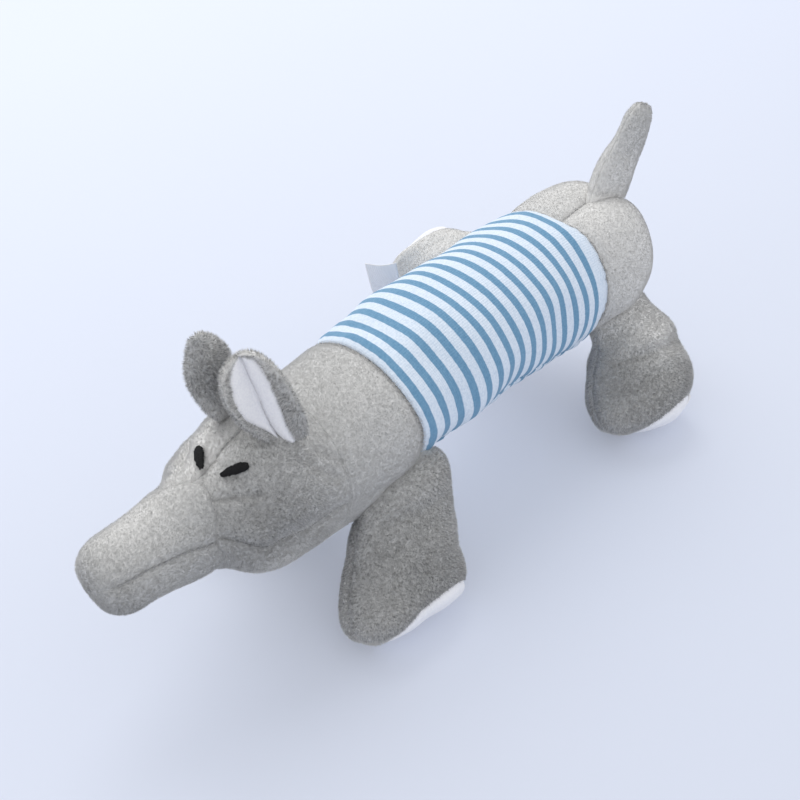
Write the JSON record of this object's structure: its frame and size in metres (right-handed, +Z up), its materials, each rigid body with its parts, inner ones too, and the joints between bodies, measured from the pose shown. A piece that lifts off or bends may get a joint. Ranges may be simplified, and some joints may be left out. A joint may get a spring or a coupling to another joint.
{
  "type": "squeaky plush dog toy",
  "caption": "Plush elephant dog toy in a striped knit sleeve, stuffed, with splayed legs, cupped ears, a leaf tail and a bellows squeaker; legs, head, trunk, ears and tail flex at their seams.",
  "frame": {"origin": "middle of the footprint, on the surface the feet stand on", "axes": "+X forward along the trunk, +Y the toy's left, +Z up"},
  "size_m": [0.2648, 0.1176, 0.1162],
  "materials": {
    "grey_plush": "short-pile grey plush",
    "striped_knit": "white jersey knit with blue stripes across the body",
    "white_cloth": "smooth white brushed cloth",
    "filling": "loose white polyester fibre",
    "squeaker_plastic": "moulded natural plastic",
    "bellows_plastic": "blow-moulded soft plastic",
    "reed_plastic": "thin stamped film",
    "black_thread": "black satin-stitch thread",
    "label_ribbon": "white woven ribbon, print left bare"
  },
  "bodies": {
    "torso": {"rump_left_panel": "grey_plush", "rump_right_panel": "grey_plush", "striped_sleeve": "striped_knit", "chest_panel": "grey_plush", "torso_filling_upper": "filling", "torso_filling_lower": "filling", "squeaker_base": "squeaker_plastic", "squeaker_bellows": "bellows_plastic", "squeaker_reed_holder": "squeaker_plastic", "squeaker_reed": "reed_plastic"},
    "squeaker_top": {"squeaker_top": "squeaker_plastic"},
    "head": {"head_left_panel": "grey_plush", "head_right_panel": "grey_plush", "chin_panel": "grey_plush", "head_filling": "filling", "eye_left": "black_thread", "eye_right": "black_thread"},
    "trunk": {"trunk_top_panel": "grey_plush", "trunk_under_panel": "grey_plush", "trunk_filling": "filling"},
    "tail": {"tail_left_panel": "grey_plush", "tail_right_panel": "grey_plush", "tail_filling": "filling"},
    "ear_left": {"ear_left_outer": "grey_plush", "ear_left_lining": "white_cloth"},
    "ear_right": {"ear_right_outer": "grey_plush", "ear_right_lining": "white_cloth"},
    "leg_front_left": {"leg_front_left_outer": "grey_plush", "leg_front_left_inner": "grey_plush", "leg_front_left_sole": "white_cloth", "leg_front_left_filling": "filling"},
    "leg_front_right": {"leg_front_right_outer": "grey_plush", "leg_front_right_inner": "grey_plush", "leg_front_right_sole": "white_cloth", "leg_front_right_filling": "filling"},
    "leg_hind_left": {"leg_hind_left_outer": "grey_plush", "leg_hind_left_inner": "grey_plush", "leg_hind_left_sole": "white_cloth", "leg_hind_left_filling": "filling"},
    "leg_hind_right": {"leg_hind_right_outer": "grey_plush", "leg_hind_right_inner": "grey_plush", "leg_hind_right_sole": "white_cloth", "leg_hind_right_filling": "filling"},
    "label": {"care_label": "label_ribbon"}
  },
  "joints": [
    {"name": "leg_front_left_swing", "type": "hinge", "parent": "torso", "child": "leg_front_left", "pos_m": [0.0256, 0.0247, 0.03745], "axis": [0.995, -0.0995, 0], "range_deg": [-22, 40], "stiffness_Nm_per_rad": 0.3},
    {"name": "leg_front_right_swing", "type": "hinge", "parent": "torso", "child": "leg_front_right", "pos_m": [0.0256, -0.0185, 0.03745], "axis": [-0.995, -0.0995, 0], "range_deg": [-22, 40], "stiffness_Nm_per_rad": 0.3},
    {"name": "leg_hind_left_swing", "type": "hinge", "parent": "torso", "child": "leg_hind_left", "pos_m": [-0.0974, 0.0249, 0.0381], "axis": [0.9766, -0.2149, 0], "range_deg": [-22, 40], "stiffness_Nm_per_rad": 0.3},
    {"name": "leg_hind_right_swing", "type": "hinge", "parent": "torso", "child": "leg_hind_right", "pos_m": [-0.0924, -0.0219, 0.0435], "axis": [-1, 0, 0], "range_deg": [-52, 12], "stiffness_Nm_per_rad": 0.3},
    {"name": "head_turn", "type": "hinge", "parent": "torso", "child": "head", "pos_m": [0.0486, 0.0031, 0.056], "axis": [0, 0, 1], "range_deg": [-15, 15], "stiffness_Nm_per_rad": 0.3},
    {"name": "trunk_lift", "type": "hinge", "parent": "head", "child": "trunk", "pos_m": [0.0926, 0.0031, 0.0602], "axis": [0, -1, 0], "range_deg": [-16, 16], "stiffness_Nm_per_rad": 0.12},
    {"name": "ear_left_flap", "type": "hinge", "parent": "head", "child": "ear_left", "pos_m": [0.0606, 0.0139, 0.082], "axis": [-0.8437, 0.3616, 0.3967], "range_deg": [-5, 40], "stiffness_Nm_per_rad": 0.02},
    {"name": "ear_right_flap", "type": "hinge", "parent": "head", "child": "ear_right", "pos_m": [0.0651, -0.0079, 0.0838], "axis": [0.9824, 0.1268, -0.1373], "range_deg": [-5, 40], "stiffness_Nm_per_rad": 0.02},
    {"name": "tail_sway", "type": "hinge", "parent": "torso", "child": "tail", "pos_m": [-0.112, 0.0031, 0.0819], "axis": [0.891, 0, 0.454], "range_deg": [-28, 28], "stiffness_Nm_per_rad": 0.02},
    {"name": "label_flip", "type": "hinge", "parent": "leg_hind_right", "child": "label", "pos_m": [-0.0545, -0.04294, 0.03965], "axis": [-0.6211, 0.771, 0.1411], "range_deg": [-20, 60], "stiffness_Nm_per_rad": 0.002},
    {"name": "squeaker_press", "type": "slide", "parent": "torso", "child": "squeaker_top", "axis": [0, 0, -1], "range_m": [0, 0.007], "stiffness_N_per_m": 200, "deforming": ["squeaker_bellows"]}
  ]
}
